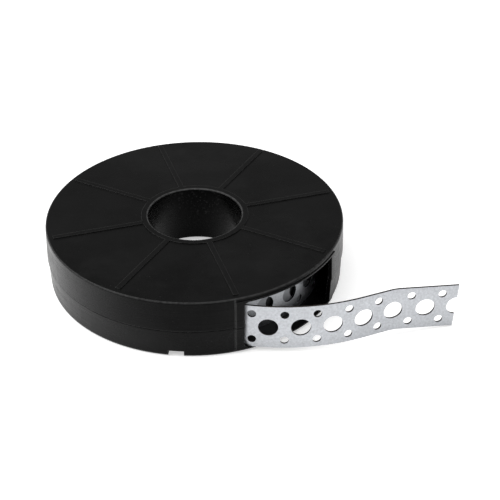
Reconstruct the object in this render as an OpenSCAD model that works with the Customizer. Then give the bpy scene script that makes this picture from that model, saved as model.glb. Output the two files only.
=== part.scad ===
// Perforated steel strap in a round two-shell dispenser case.
// The hub axis is Z, the shells part at z = 0, and the free end of the strap lies along X.

/* [Strap] */
// Width of the strap
strap_w = 20; // [12:0.5:30]
// Thickness of the strap
strap_t = 0.8; // [0.6:0.1:1.5]
// Distance between neighbouring large holes along the strap
hole_pitch = 13; // [11:0.5:20]
// Diameter of the large holes
large_d = 8; // [5:0.1:10]
// Diameter of the small holes
small_d = 3.5; // [2:0.1:5]
// Distance between the two rows of small holes
row_gap = 12.4; // [9:0.1:20]
// Outer radius of the wound coil
coil_r = 53; // [40:0.1:80]
// How far the loose coil has been drawn off the hub's axis, along X
coil_off = 1.7; // [0:0.1:5]
// Direction of a large hole on the coil
coil_hole_deg = -55.3; // [-100:0.1:-20]
// How far the next turn's holes lie along from those of the outer turn
next_turn = 4.8; // [2:0.1:4.9]
// Length of the straight free end
end_l = 23.7; // [20:0.1:80]
// How far the free end sinks towards the floor
end_drop = 1.55; // [0:0.05:1.9]
// Radius of the bend before the free end
end_bend_r = 20; // [8:1:120]
// Turn of the bend before the free end
end_bend_deg = 11.6; // [4:0.1:30]
// Length of the straight run between the two bends
run_l = 12; // [2:0.5:60]
// Radius that the strap keeps from the coil outside the case
curl_r = 80; // [45:1:140]
// Turn that the strap keeps from the coil outside the case
curl_deg = 34.7; // [10:0.1:50]

/* [Case] */
// Room between the coil and the lid's plate
top_room = 2.6; // [0.5:0.1:8]
// Least room between the coil and the upper shell's wall
side_room = 7.3; // [4:0.1:30]
// Thickness of the case wall
wall_t = 1.2; // [1:0.1:3]
// Thickness of the lid plate
lid_t = 2.2; // [1:0.1:5]
// Thickness of the base plate
base_t = 2; // [1:0.1:5]
// Height of the parting line above the underside
seam_h = 12.9; // [9:0.1:16]
// How much the upper shell widens from the lid to the parting line
upper_draft = 0.4; // [0:0.1:1.5]
// Step from the upper shell in to the lower shell at the parting line
seam_step = 0.3; // [0:0.1:0.6]
// How much the lower shell narrows from the parting line to the base
lower_draft = 0.4; // [0:0.1:1.5]
// Bevel of the two edges that meet at the parting line
seam_bevel = 0.25; // [0.1:0.05:0.4]
// Rounding of the lid's outer edge
lid_round = 0.8; // [0.2:0.1:1.5]
// Rounding of the base's outer edge
base_round = 1.3; // [0.3:0.1:1.6]
// Height of the locating lip at the parting line
lip_h = 1.4; // [0.5:0.1:3]
// Thickness of the locating lip
lip_t = 0.45; // [0.3:0.05:0.7]
// Clearance of the locating lip
lip_gap = 0.15; // [0.05:0.05:0.3]

/* [Hub] */
// Radius of the bore through the hub
bore_r = 20; // [10:0.1:30]
// Wall of the hub sleeve on the upper shell
sleeve_t = 1.5; // [1:0.1:3]
// Clearance between the sleeve and the collar round it
sleeve_gap = 0.2; // [0.1:0.05:0.5]
// Wall of the collar on the lower shell
collar_t = 1.5; // [1:0.1:3]
// Height of the collar above the base plate
collar_h = 9; // [3:0.5:14]
// Least room between the collar and the coil
collar_room = 0.8; // [0.3:0.1:6]
// Rounding of the bore's top edge
bore_round = 0.6; // [0.2:0.1:1.2]
// Rounding of the base's hole at the underside
foot_round = 1.6; // [0.3:0.1:1.8]
// Width of the raised ring round the bore
ring_w = 2.8; // [1.5:0.1:6]

/* [Lid ribs] */
// Number of ribs on the lid
rib_n = 8; // [3:1:12]
// Width of a rib
rib_w = 2.2; // [1:0.1:5]
// Height of the ribs and the ring above the lid
rib_h = 0.45; // [0.2:0.05:1.5]
// Gap between a rib's end and the lid's edge
rib_margin = 2.4; // [1.6:0.1:8]
// Direction of the first rib
rib_deg = 6.2; // [0:0.1:45]

/* [Window] */
// Angle that the window takes of the wall
window_deg = 43.7; // [30:0.1:80]
// Clearance of the strap at the window's edge
jamb_gap = 0.3; // [0.15:0.05:1]
// How far inside the window's edge the strap starts to curl
curl_lead = 0.1; // [0:0.1:10]
// Width of the raised frame beside the window
frame_w = 3.6; // [1.5:0.1:8]
// How far the frame stands out of the wall
frame_t = 0.5; // [0.2:0.1:1.5]
// Height of the frame above the window
frame_top = 0.6; // [0.2:0.1:1]
// Rounding of the frame's corners where the strap comes out
window_round = 2; // [0.5:0.1:3]

/* [Notch] */
// Width of the notch in the base's edge
notch_w = 6.4; // [3:0.1:15]
// Height of the notch
notch_h = 2.8; // [1:0.1:4]
// Depth of the notch into the wall
notch_d = 4.2; // [1:0.1:6]
// Direction of the notch
notch_deg = -106.5; // [-140:0.1:-100]

/* [Hidden] */
$fn = 180;
round_steps = 5;
hole_faces = 40;
facet_deg = 1.6;
cut = 3;

floor_z = base_t - seam_h;
foot_z = -seam_h;
lid_under = floor_z + strap_w + top_room;
lid_top = lid_under + lid_t;
ring_top = lid_top + rib_h;

lid_r = coil_r + coil_off + side_room + wall_t;
upper_seam_r = lid_r + upper_draft;
lower_seam_r = upper_seam_r - seam_step;
base_r = lower_seam_r - lower_draft;
lip_r = lower_seam_r - wall_t + lip_t;
lip_top = lip_h + lip_gap;
sleeve_r = bore_r + sleeve_t;
hole_r = sleeve_r + sleeve_gap;
collar_r = hole_r + collar_t;
coil_bore_r = collar_r + collar_room + coil_off;
ring_r = bore_r + ring_w;
rib_end = lid_r - rib_margin;

// The strap leaves the coil along a straight line that meets the wall at the window's edge.
lead_deg = end_bend_deg - curl_deg;
lead_r = coil_r + coil_off * sin(lead_deg);
jamb_r = base_r - wall_t - jamb_gap;
jamb_deg = lead_deg - 90 + acos(lead_r / jamb_r);
lead_l = sqrt(jamb_r * jamb_r - lead_r * lead_r) - coil_off * cos(lead_deg) - curl_lead;
droop_deg = asin(end_drop / end_l);
frame_deg = frame_w / lid_r * 180 / PI;
bite = 0.04;

curl_l = curl_r * curl_deg * PI / 180;
end_bend_l = end_bend_r * end_bend_deg * PI / 180;
run_start = end_l + end_bend_l;
curl_start = run_start + run_l;
lead_start = curl_start + curl_l;
tail_l = lead_start + lead_l;
curl_steps = ceil(curl_deg / facet_deg);
bend_steps = ceil(end_bend_deg / facet_deg);
tail_holes = floor(tail_l / hole_pitch);

// The wound strap's holes run once round the coil, from where the leaving strap clears it.
pitch_deg = hole_pitch / coil_r * 180 / PI;
lift_deg = acos(1 - strap_t / coil_r);
first_hole = ceil((lead_deg - 90 + lift_deg - coil_hole_deg) / pitch_deg + 0.5);
last_hole = floor((lead_deg + 270 - coil_hole_deg) / pitch_deg - 0.5);
next_deg = next_turn / coil_r * 180 / PI;

function arc_points(x, y, r, from, to) =
    [for (i = [0:round_steps]) [x + r * cos(from + (to - from) * i / round_steps),
                                y + r * sin(from + (to - from) * i / round_steps)]];

function upper_inner(z) = upper_seam_r - wall_t - upper_draft * z / lid_top;

// Band of wall beside and round the window, raised on both shells
module frame_band(points) {
    rotate([0, 0, jamb_deg - frame_deg])
        rotate_extrude(angle = window_deg + 2 * frame_deg)
            polygon(points);
}

// What is left in a corner of the frame, outside the strap's way
module window_corner(turn) {
    translate([base_r, 0, 0]) rotate([90, 0, 90]) linear_extrude(2 * cut) rotate(turn)
        polygon(concat([[-cut, -cut], [window_round, -cut]],
                       arc_points(window_round, window_round, window_round, 270, 180),
                       [[-cut, window_round]]));
}

// The window is square within the wall, and its raised frame has round corners beside the strap.
module window_cut() {
    inner_r = base_r - wall_t - cut;
    rotate([0, 0, jamb_deg]) difference() {
        rotate_extrude(angle = window_deg)
            translate([inner_r, floor_z]) square([upper_seam_r + cut - inner_r, lid_under - floor_z]);
        translate([0, 0, floor_z]) window_corner(0);
        translate([0, 0, lid_under]) window_corner(270);
    }
}

module upper_profile() {
    polygon(concat(
        [[bore_r, floor_z], [sleeve_r, floor_z], [sleeve_r, lid_under], [upper_inner(lid_under), lid_under],
         [upper_inner(lip_top), lip_top], [lip_r + lip_gap, lip_top], [lip_r + lip_gap, 0],
         [upper_seam_r - seam_bevel, 0], [upper_seam_r, seam_bevel]],
        arc_points(lid_r - lid_round, lid_top - lid_round, lid_round, 0, 90),
        [[ring_r, lid_top], [ring_r, ring_top]],
        arc_points(bore_r + bore_round, ring_top - bore_round, bore_round, 90, 180)));
}

module lower_profile() {
    polygon(concat(
        [[hole_r, floor_z + collar_h]],
        arc_points(hole_r + foot_round, foot_z + foot_round, -foot_round, 0, 90),
        arc_points(base_r - base_round, foot_z + base_round, base_round, -90, 0),
        [[lower_seam_r, -seam_bevel], [lower_seam_r - seam_bevel, 0], [lip_r, 0], [lip_r, lip_h],
         [lower_seam_r - wall_t, lip_h], [lower_seam_r - wall_t, 0], [base_r - wall_t, floor_z],
         [collar_r, floor_z], [collar_r, floor_z + collar_h]]));
}

module upper_shell() {
    color("#1c1c1d") difference() {
        union() {
            rotate_extrude() upper_profile();
            for (i = [0:rib_n - 1])
                rotate([0, 0, rib_deg + 360 / rib_n * i])
                    translate([ring_r - bore_round, -rib_w / 2, lid_top - lid_t / 2])
                        cube([rib_end - ring_r + bore_round, rib_w, lid_t / 2 + rib_h]);
            frame_band([[lid_r - wall_t / 2, seam_bevel], [upper_seam_r + frame_t, seam_bevel],
                        [lid_r + frame_t, lid_under + frame_top], [lid_r - wall_t / 2, lid_under + frame_top]]);
        }
        window_cut();
    }
}

module lower_shell() {
    color("#202021") difference() {
        union() {
            rotate_extrude() lower_profile();
            frame_band([[base_r - wall_t / 2, foot_z + base_round], [base_r + frame_t, foot_z + base_round],
                        [lower_seam_r + frame_t, -seam_bevel], [base_r - wall_t / 2, -seam_bevel]]);
        }
        window_cut();
        rotate([0, 0, notch_deg])
            translate([base_r - notch_d, -notch_w / 2, foot_z - cut])
                cube([notch_d + cut, notch_w, notch_h + cut]);
    }
}

// Frames along the strap: x runs towards the free end, y = 0 is the outer face
module lead_frame() {
    translate([coil_off, 0, floor_z]) rotate([0, 0, lead_deg]) translate([0, bite - coil_r, 0]) children();
}

module curl_frame(turn) {
    lead_frame() translate([lead_l, curl_r, 0]) rotate([0, 0, turn]) translate([0, -curl_r, 0]) children();
}

module run_frame() {
    curl_frame(curl_deg) children();
}

module end_bend_frame(turn) {
    run_frame() translate([run_l, -end_bend_r, 0]) rotate([0, 0, -turn]) translate([0, end_bend_r, 0]) children();
}

module end_frame() {
    end_bend_frame(end_bend_deg) children();
}

// Places a thing on the strap at a distance from its free end
module on_strap(s) {
    if (s <= end_l)
        end_frame() rotate([0, droop_deg, 0]) translate([end_l - s, 0, 0]) children();
    else if (s <= run_start)
        end_bend_frame(end_bend_deg * (run_start - s) / end_bend_l) children();
    else if (s <= curl_start)
        run_frame() translate([curl_start - s, 0, 0]) children();
    else if (s <= lead_start)
        curl_frame(curl_deg * (lead_start - s) / curl_l) children();
    else
        lead_frame() translate([tail_l - s, 0, 0]) children();
}

// Places a thing on the coil's outer face, in a direction from its axis
module on_coil(deg) {
    translate([coil_off, 0, floor_z]) rotate([0, 0, deg + 90]) translate([0, -coil_r, 0]) children();
}

module punch(d, z, depth) {
    translate([0, depth, z]) rotate([90, 0, 0]) cylinder(d = d, h = depth + cut, $fn = hole_faces);
}

module large_hole(depth) {
    punch(large_d, strap_w / 2, depth);
}

module small_holes(depth) {
    punch(small_d, (strap_w - row_gap) / 2, depth);
    punch(small_d, (strap_w + row_gap) / 2, depth);
}

module coil() {
    difference() {
        translate([coil_off, 0, floor_z]) rotate_extrude()
            translate([coil_bore_r, 0]) square([coil_r - coil_bore_r, strap_w]);
        for (i = [first_hole:last_hole]) {
            on_coil(coil_hole_deg + i * pitch_deg) large_hole(strap_t);
            intersection() {
                on_coil(coil_hole_deg + i * pitch_deg) large_hole(2 * strap_t);
                on_coil(coil_hole_deg + i * pitch_deg + next_deg) large_hole(2 * strap_t);
            }
        }
        for (i = [first_hole:last_hole - 1])
            on_coil(coil_hole_deg + (i + 0.5) * pitch_deg) small_holes(strap_t);
    }
}

// Plan of the strap from the coil to its free end, at a depth behind its outer face
function along(p, deg, l) = [p[0] + l * cos(deg), p[1] + l * sin(deg)];
function beside(p, deg, l) = along(p, deg + 90, l);
lead_point = beside([coil_off, 0], lead_deg, bite - coil_r);
curl_centre = beside(along(lead_point, lead_deg, lead_l), lead_deg, curl_r);
run_point = beside(curl_centre, end_bend_deg, -curl_r);
bend_centre = beside(along(run_point, end_bend_deg, run_l), end_bend_deg, -end_bend_r);
end_point = beside(bend_centre, 0, end_bend_r);
function curl_side(depth) =
    [for (i = [0:curl_steps]) beside(curl_centre, lead_deg + curl_deg * i / curl_steps, depth - curl_r)];
function bend_side(depth) =
    [for (i = [0:bend_steps]) beside(bend_centre, end_bend_deg * (1 - i / bend_steps), depth + end_bend_r)];
function strap_side(depth) = concat(
    [beside(lead_point, lead_deg, depth)], curl_side(depth), bend_side(depth),
    [beside(along(end_point, 0, end_l + strap_w), 0, depth)]);
function reversed(points) = [for (i = [len(points) - 1:-1:0]) points[i]];

// What is trimmed off so that the free end sinks a little in its own plane
module end_trim() {
    far_low = along([0, 0], -droop_deg, end_l);
    far_high = beside(far_low, -droop_deg, strap_w);
    end_frame() {
        translate([-2 * tail_l, -2 * tail_l, -end_drop - cut]) cube([2 * tail_l, 4 * tail_l, end_drop + cut]);
        translate([0, strap_t + cut, 0]) rotate([90, 0, 0]) linear_extrude(strap_t + 2 * cut) {
            polygon([[0, 0], far_low, [far_low[0], -end_drop - cut], [0, -end_drop - cut]]);
            polygon([[0, strap_w], far_high, [far_high[0], strap_w + cut], [0, strap_w + cut]]);
            polygon([far_low, far_high, [far_high[0], strap_w + cut], [end_l + 2 * strap_w, strap_w + cut],
                     [end_l + 2 * strap_w, -end_drop - cut], [far_low[0], -end_drop - cut]]);
        }
    }
}

module tail() {
    difference() {
        translate([0, 0, floor_z - end_drop]) linear_extrude(strap_w + end_drop)
            polygon(concat(strap_side(0), reversed(strap_side(strap_t))));
        end_trim();
        for (i = [0:tail_holes - 1]) {
            on_strap(i * hole_pitch) large_hole(strap_t + cut);
            on_strap((i + 0.5) * hole_pitch) small_holes(strap_t + cut);
        }
    }
}

module strap() {
    color("#c8ccd2") union() {
        coil();
        tail();
    }
}

upper_shell();
lower_shell();
strap();
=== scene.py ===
"""Looks of a perforated steel strap that is wound in a round two-shell dispenser case."""
import math

import bmesh
import bpy
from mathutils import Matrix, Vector


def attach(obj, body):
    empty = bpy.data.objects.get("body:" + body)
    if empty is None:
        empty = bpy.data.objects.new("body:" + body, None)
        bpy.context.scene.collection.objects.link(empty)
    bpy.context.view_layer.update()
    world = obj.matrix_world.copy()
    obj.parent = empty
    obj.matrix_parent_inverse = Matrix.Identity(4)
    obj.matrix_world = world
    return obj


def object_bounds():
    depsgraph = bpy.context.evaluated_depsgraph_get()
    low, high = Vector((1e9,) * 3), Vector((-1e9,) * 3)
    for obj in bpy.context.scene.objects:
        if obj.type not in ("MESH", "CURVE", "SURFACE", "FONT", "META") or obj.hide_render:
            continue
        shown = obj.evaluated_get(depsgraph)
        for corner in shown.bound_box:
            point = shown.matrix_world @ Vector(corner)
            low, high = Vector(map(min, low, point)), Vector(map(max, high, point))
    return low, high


MM = 0.001

# Camera, as the photograph was taken: a long lens that looks down on the case
CAMERA_PLACE = Vector((-0.0619, -0.4337, 0.2956))
CAMERA_PITCH = math.radians(34.46)
CAMERA_TURN = math.radians(-11.2)
CAMERA_LENS = 87.84
SENSOR_WIDTH = 36

# Studio
FLOOR_HALF = 4
FLOOR_WHITE = 0.8
FLOOR_GLOW = 0.85
FLOOR_GLOW_NEAR = 0.5
SHADOW_REACH = 0.12
GLOW_REACH = 0.6
FLOOR_MIRROR_GLOW = 0.3
CONTACT_SHADE = 4 * MM
SURROUND_LIGHT = 0.2
BACKDROP_WHITE = 1.0
SIDE_LIGHT_SIZE = (0.6, 0.5)
LEFT_LIGHT_PLACE = Vector((-0.5, -0.05, 0.55))
LEFT_LIGHT_POWER = 4.0
RIGHT_LIGHT_PLACE = Vector((0.4, -0.4, 0.55))
RIGHT_LIGHT_POWER = 1.0
TOP_LIGHT_SIZE = (0.8, 0.8)
TOP_LIGHT_PLACE = Vector((0, 0.1, 0.9))
TOP_LIGHT_POWER = 5.0

# Shading aids: the span that most of a noise lies in, and sample counts
NOISE_LOW = 0.3
NOISE_HIGH = 0.7
BEVEL_SAMPLES = 6
OCCLUSION_SAMPLES = 8

# Ranges below are low, high and what these two become
STRAY_NORMAL = (0.995, 0.998, 1, 0)
EDGE_TURN = (0.90, 0.99, 1, 0)
EDGE_OPENNESS = (0.75, 0.95, 0, 1)

# Black moulded plastic of the case; tones are shares of its colour
PLASTIC_COLOUR = (0.0030, 0.0030, 0.0030)
# The lower shell wears a slightly darker copy of the same plastic: painted shade
LOWER_SHELL_SHADE = 0.95
PLASTIC_ROUGHNESS = 0.28
PLASTIC_IOR = 1.8
PLASTIC_GLOSS = 0.02
CLOUD_SCALE = 45
CLOUD_TONES = (0.6, 1.5)
CLOUD_ROUGHNESS = (-0.07, 0.08)
CLOUD_DEPTH = 0.15 * MM
CLOUD_BUMP = 0.3
GRAIN_SCALE = 2200
GRAIN_DEPTH = 0.02 * MM
GRAIN_BUMP = 0.35
RUB_STRETCH = (40, 40, 1400)
RUB_ROUGHNESS = (-0.07, 0.09)
RUB_DEPTH = 0.03 * MM
RUB_BUMP = 0.25
STREAK_STRETCH = (500, 500, 60)
STREAK_ROUGHNESS = (-0.03, 0.04)
SMEAR_STRETCH = (22, 30, 60)
SMEAR_RANGE = (0.5, 0.72, 0, 0.6)
SMEAR_TONE = 3
SPECK_SCALE = 1000
DUST_RANGE = (0.73, 0.80, 0, 0.6)
DUST_TONE = 8
# Painted shade: the band along the seam between the shells and the inside of the bore are darkened
# to this share of the colour
PAINTED_SHADE_TONE = 0.3
SEAM_BAND = 0.32 * MM
SEAM_FADE = (SEAM_BAND * 0.6, SEAM_BAND * 1.4, 1, 0)
SEAM_ROUGHNESS = 0.5
BORE_RADIUS = 20.4 * MM
SEAM_INNER_RADIUS = 2 * BORE_RADIUS
BORE_BLUR = 0.3 * MM
BORE_DUST_CLUSTERS = (0.47, 0.57, 0, 1)
BORE_DUST_RANGE = (0.60, 0.67, 0, 0.8)
BORE_DUST_TONE = 7
EDGE_ROUND = 0.6 * MM
# Painted highlight: outer edges, the lid's rim, the bore's bead and the window frame's left edge
# are lightened
EDGE_HIGHLIGHT_REACH = 0.3 * MM
EDGE_STREAKS = (0.3, 0.6, 0.5, 1)
EDGE_HIGHLIGHT_TONE = 20
MASK_BLUR = 0.2 * MM
RIM_RADIUS = 62.5 * MM
RIM_LEVEL = 13.25 * MM
RIM_HIGHLIGHT = 0.6
BEAD_LEVEL = 13.7 * MM
FRAME_EDGE = math.radians(-84.83)
FRAME_HIGHLIGHT_ANGLE = math.radians(0.45)
FRAME_FADE = (FRAME_HIGHLIGHT_ANGLE * 0.6, FRAME_HIGHLIGHT_ANGLE, 1, 0)

# Galvanised steel of the strap; tones are shares of its colour
STEEL_COLOUR = (0.54, 0.555, 0.58)
STEEL_ROUGHNESS = 0.38
STEEL_BUMP = 0.5
LINE_STRETCH = (40, 40, 3500)
LINE_ROUGHNESS = (-0.06, 0.08)
LINE_DEPTH = 0.01 * MM
ZINC_SCALE = 1100
ZINC_TONES = (0.86, 1.10)
ZINC_DEPTH = 0.012 * MM
PATCH_SCALE = 90
PATCH_RANGE = (0.5, 0.75, 0, 0.35)
PATCH_TONE = 0.85
# Cut edges: bare steel, darkened further with painted shade
CUT_EDGE_SHADED_COLOUR = (0.066, 0.058, 0.054)
CUT_EDGE_FACING = (0.6, 0.75, 1, 0)
# Painted shade in the coil's punched holes: the next turn is darkened, and what lies deeper is
# nearly black
POCKET_SHADE_TONE = 0.55
DEEP_SHADE_TONE = 0.05
POCKET_TURNS = 3
POCKET_MARGIN = 0.1 * MM
NEXT_TURN_MARGIN = 0.15 * MM

# Coil of the strap, as the solids have it
COIL_AXIS = 1.7 * MM
COIL_RADIUS = 53 * MM
DRAWN_OUT_RANGE = (COIL_RADIUS + 1 * MM, COIL_RADIUS + 2 * MM, 0, 1)
COIL_BORE = 25.7 * MM
COIL_TOP = 9.1 * MM
COIL_START = math.radians(-113.1)
STRAP_THICKNESS = 0.8 * MM
STRAP_WIDTH = 20 * MM
TURN_GAP = 0.12 * MM
TURN_PROUD = 0.12 * MM
TURN_SUNK = 0.05 * MM
TURN_STEPS = 96


class Shader:
    """A material with short ways to add its nodes."""

    def __init__(self, name):
        self.material = bpy.data.materials.new(name)
        self.material.use_nodes = True
        self.tree = self.material.node_tree
        self.tree.nodes.clear()
        self.output = self.tree.nodes.new("ShaderNodeOutputMaterial")

    def add(self, kind, **settings):
        node = self.tree.nodes.new("ShaderNode" + kind)
        for name, value in settings.items():
            setattr(node, name, value)
        return node

    def link(self, source, target):
        self.tree.links.new(source, target)

    def place(self):
        """Position in the row frame, in metres."""
        return self.add("TexCoord").outputs["Object"]

    def parts(self, vector):
        node = self.add("SeparateXYZ")
        self.link(vector, node.inputs["Vector"])
        return node.outputs["X"], node.outputs["Y"], node.outputs["Z"]

    def scaled(self, vector, stretch):
        node = self.add("Mapping")
        node.inputs["Scale"].default_value = stretch
        self.link(vector, node.inputs["Vector"])
        return node.outputs["Vector"]

    def noise(self, vector, scale, detail=3, roughness=0.5):
        node = self.add("TexNoise")
        node.inputs["Scale"].default_value = scale
        node.inputs["Detail"].default_value = detail
        node.inputs["Roughness"].default_value = roughness
        self.link(vector, node.inputs["Vector"])
        return node.outputs["Fac"]

    def ranged(self, value, low, high, to_low, to_high):
        """value mapped from low..high to to_low..to_high, and held there."""
        node = self.add("MapRange")
        self.link(value, node.inputs["Value"])
        node.inputs["From Min"].default_value = low
        node.inputs["From Max"].default_value = high
        node.inputs["To Min"].default_value = to_low
        node.inputs["To Max"].default_value = to_high
        return node.outputs["Result"]

    def spread(self, noise, to_low, to_high):
        """A noise mapped from the span that most of it lies in."""
        return self.ranged(noise, NOISE_LOW, NOISE_HIGH, to_low, to_high)

    def math(self, operation, *values):
        node = self.add("Math", operation=operation)
        for socket, value in zip(node.inputs, values):
            if isinstance(value, (int, float)):
                socket.default_value = value
            else:
                self.link(value, socket)
        return node.outputs["Value"]

    def times(self, a, b):
        return self.math("MULTIPLY", a, b)

    def larger(self, a, b):
        return self.math("MAXIMUM", a, b)

    def from_axis(self, x, y):
        """Distance from the vertical axis."""
        squares = self.math("ADD", self.times(x, x), self.times(y, y))
        return self.math("SQRT", squares)

    def near(self, value, centre, reach):
        """1 where value is within reach of centre, 0 elsewhere."""
        return self.math("COMPARE", value, centre, reach)

    def mixed_colour(self, factor, a, b):
        node = self.add("Mix", data_type="RGBA")
        self.link(factor, node.inputs["Factor"])
        for name, value in (("A", a), ("B", b)):
            socket = next(s for s in node.inputs if s.name == name and s.type == "RGBA")
            if isinstance(value, tuple):
                socket.default_value = (*value, 1)
            else:
                self.link(value, socket)
        return next(s for s in node.outputs if s.type == "RGBA")

    def bump(self, height, distance, strength, normal=None):
        node = self.add("Bump")
        node.inputs["Strength"].default_value = strength
        node.inputs["Distance"].default_value = distance
        self.link(height, node.inputs["Height"])
        if normal is not None:
            self.link(normal, node.inputs["Normal"])
        return node.outputs["Normal"]

    def likeness(self, a, b):
        """Cosine of the angle between two normals."""
        node = self.add("VectorMath", operation="DOT_PRODUCT")
        self.link(a, node.inputs[0])
        self.link(b, node.inputs[1])
        return node.outputs["Value"]

    def steady_normal(self):
        """The smooth normal, or the facet's own where a stray corner turns the smooth one away."""
        geometry = self.add("NewGeometry")
        smooth, facet = geometry.outputs["Normal"], geometry.outputs["True Normal"]
        stray = self.ranged(self.likeness(smooth, facet), *STRAY_NORMAL)
        node = self.add("Mix", data_type="VECTOR")
        self.link(stray, node.inputs["Factor"])
        for name, source in (("A", smooth), ("B", facet)):
            socket = next(s for s in node.inputs if s.name == name and s.type == "VECTOR")
            self.link(source, socket)
        return next(s for s in node.outputs if s.type == "VECTOR")

    def rounded_edges(self, radius, normal):
        node = self.add("Bevel", samples=BEVEL_SAMPLES)
        node.inputs["Radius"].default_value = radius
        self.link(normal, node.inputs["Normal"])
        return node.outputs["Normal"]

    def openness(self, distance):
        """1 in the open, less where something stands within that distance."""
        node = self.add("AmbientOcclusion", samples=OCCLUSION_SAMPLES)
        node.inputs["Distance"].default_value = distance
        return node.outputs["AO"]

    def outer_edges(self, radius, normal):
        """1 along edges that stand out, 0 on plain faces and in corners."""
        turned = self.ranged(self.likeness(self.rounded_edges(radius, normal), normal), *EDGE_TURN)
        return self.times(turned, self.ranged(self.openness(2 * radius), *EDGE_OPENNESS))

    def principled(self):
        node = self.add("BsdfPrincipled")
        self.link(node.outputs["BSDF"], self.output.inputs["Surface"])
        return node


def toned(colour, share):
    return tuple(c * share for c in colour)


def black_plastic(name, colour):
    """Satin plastic: clouded gloss, streaks, smears, dust, grain, painted highlights along edges,
    painted shade along the seam and in the bore.
    """
    s = Shader(name)
    skin = s.principled()
    place = s.place()
    x, y, z = s.parts(place)
    from_axis = s.from_axis(x, y)
    normal = s.steady_normal()
    clouds = s.noise(place, CLOUD_SCALE, detail=5, roughness=0.6)
    grain = s.noise(place, GRAIN_SCALE, detail=2)
    specks = s.noise(place, SPECK_SCALE, detail=1)
    rubbed = s.noise(s.scaled(place, RUB_STRETCH), 1, detail=4, roughness=0.6)
    streaks = s.noise(s.scaled(place, STREAK_STRETCH), 1)
    smears = s.noise(s.scaled(place, SMEAR_STRETCH), 1, detail=6, roughness=0.7)

    # Where the joint of the shells, the bore and the painted highlights along edges are
    joint = s.ranged(s.math("ABSOLUTE", z), *SEAM_FADE)
    seam = s.times(joint, s.math("GREATER_THAN", from_axis, SEAM_INNER_RADIUS))
    bore = s.ranged(from_axis, BORE_RADIUS, BORE_RADIUS + BORE_BLUR, 1, 0)
    wide_out = s.ranged(from_axis, RIM_RADIUS, RIM_RADIUS + MASK_BLUR, 0, 1)
    rim = s.times(wide_out, s.ranged(z, RIM_LEVEL, RIM_LEVEL + MASK_BLUR, 0, RIM_HIGHLIGHT))
    bead = s.times(bore, s.ranged(z, BEAD_LEVEL, BEAD_LEVEL + MASK_BLUR, 0, 1))
    off_edge = s.math("ABSOLUTE", s.math("SUBTRACT", s.math("ARCTAN2", y, x), FRAME_EDGE))
    frame_edge = s.times(wide_out, s.ranged(off_edge, *FRAME_FADE))
    marked = s.larger(rim, s.larger(bead, frame_edge))
    edges = s.larger(s.outer_edges(EDGE_HIGHLIGHT_REACH, normal), marked)
    edge_highlight = s.times(edges, s.ranged(streaks, *EDGE_STREAKS))

    # Colour, from the plain plastic outward
    dull, bright = (toned(colour, tone) for tone in CLOUD_TONES)
    tint = s.mixed_colour(s.spread(clouds, 0, 1), dull, bright)
    tint = s.mixed_colour(s.ranged(smears, *SMEAR_RANGE), tint, toned(colour, SMEAR_TONE))
    tint = s.mixed_colour(s.ranged(specks, *DUST_RANGE), tint, toned(colour, DUST_TONE))
    # Painted shade along the seam and inside the bore
    tint = s.mixed_colour(s.larger(seam, bore), tint, toned(colour, PAINTED_SHADE_TONE))
    clusters = s.ranged(clouds, *BORE_DUST_CLUSTERS)
    bore_dust = s.times(bore, s.times(clusters, s.ranged(specks, *BORE_DUST_RANGE)))
    tint = s.mixed_colour(bore_dust, tint, toned(colour, BORE_DUST_TONE))
    # Painted highlight along outer edges, the rim, the bead and the frame's edge
    tint = s.mixed_colour(edge_highlight, tint, toned(colour, EDGE_HIGHLIGHT_TONE))
    s.link(tint, skin.inputs["Base Color"])

    # Gloss
    rough = s.spread(clouds, *(PLASTIC_ROUGHNESS + change for change in CLOUD_ROUGHNESS))
    rough = s.math("ADD", rough, s.spread(rubbed, *RUB_ROUGHNESS))
    rough = s.math("ADD", rough, s.spread(streaks, *STREAK_ROUGHNESS))
    rough = s.math("ADD", rough, s.times(seam, SEAM_ROUGHNESS))
    s.link(rough, skin.inputs["Roughness"])
    skin.inputs["IOR"].default_value = PLASTIC_IOR
    skin.inputs["Specular Tint"].default_value = (PLASTIC_GLOSS, PLASTIC_GLOSS, PLASTIC_GLOSS, 1)

    # Fine relief
    relief = s.rounded_edges(EDGE_ROUND, normal)
    relief = s.bump(clouds, CLOUD_DEPTH, CLOUD_BUMP, relief)
    relief = s.bump(rubbed, RUB_DEPTH, RUB_BUMP, relief)
    relief = s.bump(grain, GRAIN_DEPTH, GRAIN_BUMP, relief)
    s.link(relief, skin.inputs["Normal"])
    return s.material


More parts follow.
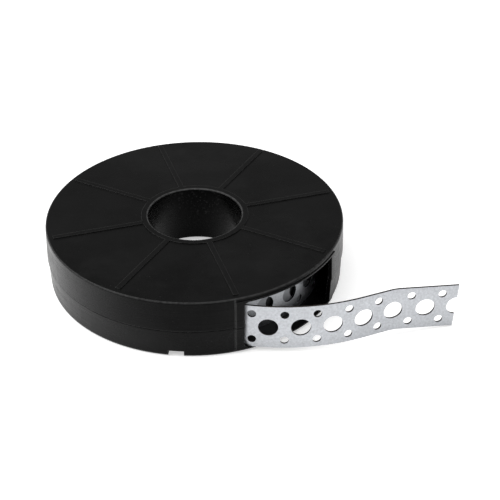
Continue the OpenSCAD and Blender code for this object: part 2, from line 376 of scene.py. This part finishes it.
def galvanised_steel(name):
    """Zinc-coated strip: rolling lines, grains, dull patches; cut edges of bare steel, darkened
    with painted shade, and painted shade on the inner turns seen through the holes.
    """
    s = Shader(name)
    skin = s.principled()
    place = s.place()
    x, y, z = s.parts(place)
    from_axis = s.from_axis(s.math("SUBTRACT", x, COIL_AXIS), y)
    lines = s.noise(s.scaled(place, LINE_STRETCH), 1, detail=4, roughness=0.6)
    grains = s.noise(place, ZINC_SCALE, detail=2)
    patches = s.noise(place, PATCH_SCALE)

    # Where the punched holes of the coil and the cut edges of the drawn-out strap are
    half_width = STRAP_WIDTH / 2
    half_depth = POCKET_TURNS * STRAP_THICKNESS / 2
    on_side = s.near(z, COIL_TOP - half_width, half_width - POCKET_MARGIN)
    in_holes = s.near(from_axis, COIL_RADIUS - half_depth, half_depth - POCKET_MARGIN)
    pocket = s.times(in_holes, on_side)
    on_next_turn = s.near(from_axis, COIL_RADIUS - STRAP_THICKNESS, NEXT_TURN_MARGIN)
    drawn_out = s.ranged(from_axis, *DRAWN_OUT_RANGE)
    facing_y = s.parts(s.add("NewGeometry").outputs["True Normal"])[1]
    cut_edge = s.times(s.ranged(s.math("ABSOLUTE", facing_y), *CUT_EDGE_FACING), drawn_out)

    dull, bright = (toned(STEEL_COLOUR, tone) for tone in ZINC_TONES)
    tint = s.mixed_colour(s.spread(grains, 0, 1), dull, bright)
    tint = s.mixed_colour(s.ranged(patches, *PATCH_RANGE), tint, toned(STEEL_COLOUR, PATCH_TONE))
    # Cut edges of bare steel, darkened with painted shade
    tint = s.mixed_colour(cut_edge, tint, CUT_EDGE_SHADED_COLOUR)
    # Painted shade in the coil's holes: the next turn darkened, deeper turns nearly black
    deep_shade, shallow_shade = toned(STEEL_COLOUR, DEEP_SHADE_TONE), toned(STEEL_COLOUR, POCKET_SHADE_TONE)
    tint = s.mixed_colour(pocket, tint, s.mixed_colour(on_next_turn, deep_shade, shallow_shade))
    s.link(tint, skin.inputs["Base Color"])
    skin.inputs["Metallic"].default_value = 1

    rough = s.spread(lines, *(STEEL_ROUGHNESS + change for change in LINE_ROUGHNESS))
    s.link(rough, skin.inputs["Roughness"])
    relief = s.bump(lines, LINE_DEPTH, STEEL_BUMP)
    relief = s.bump(grains, ZINC_DEPTH, STEEL_BUMP, relief)
    s.link(relief, skin.inputs["Normal"])
    return s.material


def white_floor(name):
    """Matt white with a glow for the camera and for reflections; near the part the glow is less,
    so that its shadow stays."""
    s = Shader(name)
    paths = s.add("LightPath").outputs
    mirrored = s.larger(paths["Is Glossy Ray"], paths["Is Transmission Ray"])
    for_mirror = s.times(s.times(mirrored, FLOOR_MIRROR_GLOW), s.openness(CONTACT_SHADE))
    x, y = s.parts(s.place())[:2]
    glow_there = s.ranged(s.from_axis(x, y), SHADOW_REACH, GLOW_REACH, FLOOR_GLOW_NEAR, FLOOR_GLOW)
    for_camera = s.times(paths["Is Camera Ray"], glow_there)
    glow = s.add("Emission")
    s.link(s.larger(for_camera, for_mirror), glow.inputs["Strength"])
    matt = s.add("BsdfDiffuse")
    matt.inputs["Color"].default_value = (FLOOR_WHITE, FLOOR_WHITE, FLOOR_WHITE, 1)
    both = s.add("AddShader")
    s.link(matt.outputs["BSDF"], both.inputs[0])
    s.link(glow.outputs["Emission"], both.inputs[1])
    s.link(both.outputs["Shader"], s.output.inputs["Surface"])
    return s.material


def give(node, material):
    """The CAD node's object wears this material alone."""
    node.data.materials.clear()
    node.data.materials.append(material)


def add_object(name, data):
    made = bpy.data.objects.new(name, data)
    bpy.context.scene.collection.objects.link(made)
    return made


def studio_world():
    """Even, dim surround that the camera sees as a white backdrop."""
    world = bpy.data.worlds.new("studio")
    world.use_nodes = True
    tree = world.node_tree
    background = tree.nodes["Background"]
    background.inputs["Color"].default_value = (1, 1, 1, 1)
    seen = tree.nodes.new("ShaderNodeMapRange")
    seen.inputs["To Min"].default_value = SURROUND_LIGHT
    seen.inputs["To Max"].default_value = BACKDROP_WHITE
    paths = tree.nodes.new("ShaderNodeLightPath")
    tree.links.new(paths.outputs["Is Camera Ray"], seen.inputs["Value"])
    tree.links.new(seen.outputs["Result"], background.inputs["Strength"])
    bpy.context.scene.world = world


def wound_turns():
    """Upper edge of the wound strap: a crowned ridge that spirals in, one thickness each turn."""
    turns = int((COIL_RADIUS - COIL_BORE) / STRAP_THICKNESS)
    half = (STRAP_THICKNESS - TURN_GAP) / 2
    section = ((-half, -TURN_SUNK), (-half, TURN_PROUD * 0.5), (-half * 0.5, TURN_PROUD),
               (half * 0.5, TURN_PROUD), (half, TURN_PROUD * 0.5), (half, -TURN_SUNK))
    mesh = bmesh.new()
    rings = []
    for step in range((turns - 1) * TURN_STEPS + 1):
        turn = step / TURN_STEPS
        middle_r = COIL_RADIUS - STRAP_THICKNESS * (turn + 0.5)
        angle = COIL_START + math.tau * turn
        out = Vector((math.cos(angle), math.sin(angle), 0))
        centre = Vector((COIL_AXIS, 0, COIL_TOP)) + out * middle_r
        points = [centre + out * across + Vector((0, 0, up)) for across, up in section]
        rings.append([mesh.verts.new(point) for point in points])
    for one, two in zip(rings, rings[1:]):
        for i in range(len(section)):
            j = (i + 1) % len(section)
            mesh.faces.new((one[i], two[i], two[j], one[j]))
    mesh.faces.new(rings[0])
    mesh.faces.new(reversed(rings[-1]))
    bmesh.ops.recalc_face_normals(mesh, faces=mesh.faces)
    data = bpy.data.meshes.new("wound_turns")
    mesh.to_mesh(data)
    mesh.free()
    return add_object("wound_turns", data)


def soft_light(name, place, target, size, power):
    lamp = bpy.data.lights.new(name, "AREA")
    lamp.shape = "RECTANGLE"
    lamp.size, lamp.size_y = size
    lamp.energy = power
    light = add_object(name, lamp)
    light.location = place
    light.rotation_euler = (target - place).to_track_quat("-Z", "Y").to_euler()


def floor(level):
    mesh = bpy.data.meshes.new("floor")
    signs = ((-1, -1), (1, -1), (1, 1), (-1, 1))
    corners = [(x * FLOOR_HALF, y * FLOOR_HALF, level) for x, y in signs]
    mesh.from_pydata(corners, [], [(0, 1, 2, 3)])
    mesh.materials.append(white_floor("floor_white"))
    plane = add_object("floor", mesh)


def photo_camera():
    data = bpy.data.cameras.new("camera")
    data.sensor_width = SENSOR_WIDTH
    data.lens = CAMERA_LENS
    camera = add_object("camera", data)
    camera.location = CAMERA_PLACE
    camera.rotation_euler = (math.pi / 2 - CAMERA_PITCH, 0, CAMERA_TURN)
    bpy.context.scene.camera = camera


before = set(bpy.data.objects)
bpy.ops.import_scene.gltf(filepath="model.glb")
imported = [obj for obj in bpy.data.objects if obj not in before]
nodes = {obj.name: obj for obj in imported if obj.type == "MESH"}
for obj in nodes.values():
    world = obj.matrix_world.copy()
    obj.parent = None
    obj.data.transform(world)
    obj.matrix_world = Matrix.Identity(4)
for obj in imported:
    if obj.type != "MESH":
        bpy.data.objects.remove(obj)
cad_low, cad_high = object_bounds()
middle = (cad_low + cad_high) / 2

give(nodes["upper_shell"], black_plastic("upper_plastic", PLASTIC_COLOUR))
# A darker copy of the plastic for the lower shell, as painted shade
shaded_lower_colour = toned(PLASTIC_COLOUR, LOWER_SHELL_SHADE)
give(nodes["lower_shell"], black_plastic("lower_plastic", shaded_lower_colour))
steel = galvanised_steel("strap_steel")
give(nodes["strap"], steel)
turns = wound_turns()
turns.data.materials.append(steel)
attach(turns, "root")

bpy.context.scene.view_settings.view_transform = "Standard"
studio_world()
floor(cad_low.z)
soft_light("left_light", LEFT_LIGHT_PLACE, middle, SIDE_LIGHT_SIZE, LEFT_LIGHT_POWER)
soft_light("right_light", RIGHT_LIGHT_PLACE, middle, SIDE_LIGHT_SIZE, RIGHT_LIGHT_POWER)
soft_light("top_light", TOP_LIGHT_PLACE, middle, TOP_LIGHT_SIZE, TOP_LIGHT_POWER)
photo_camera()
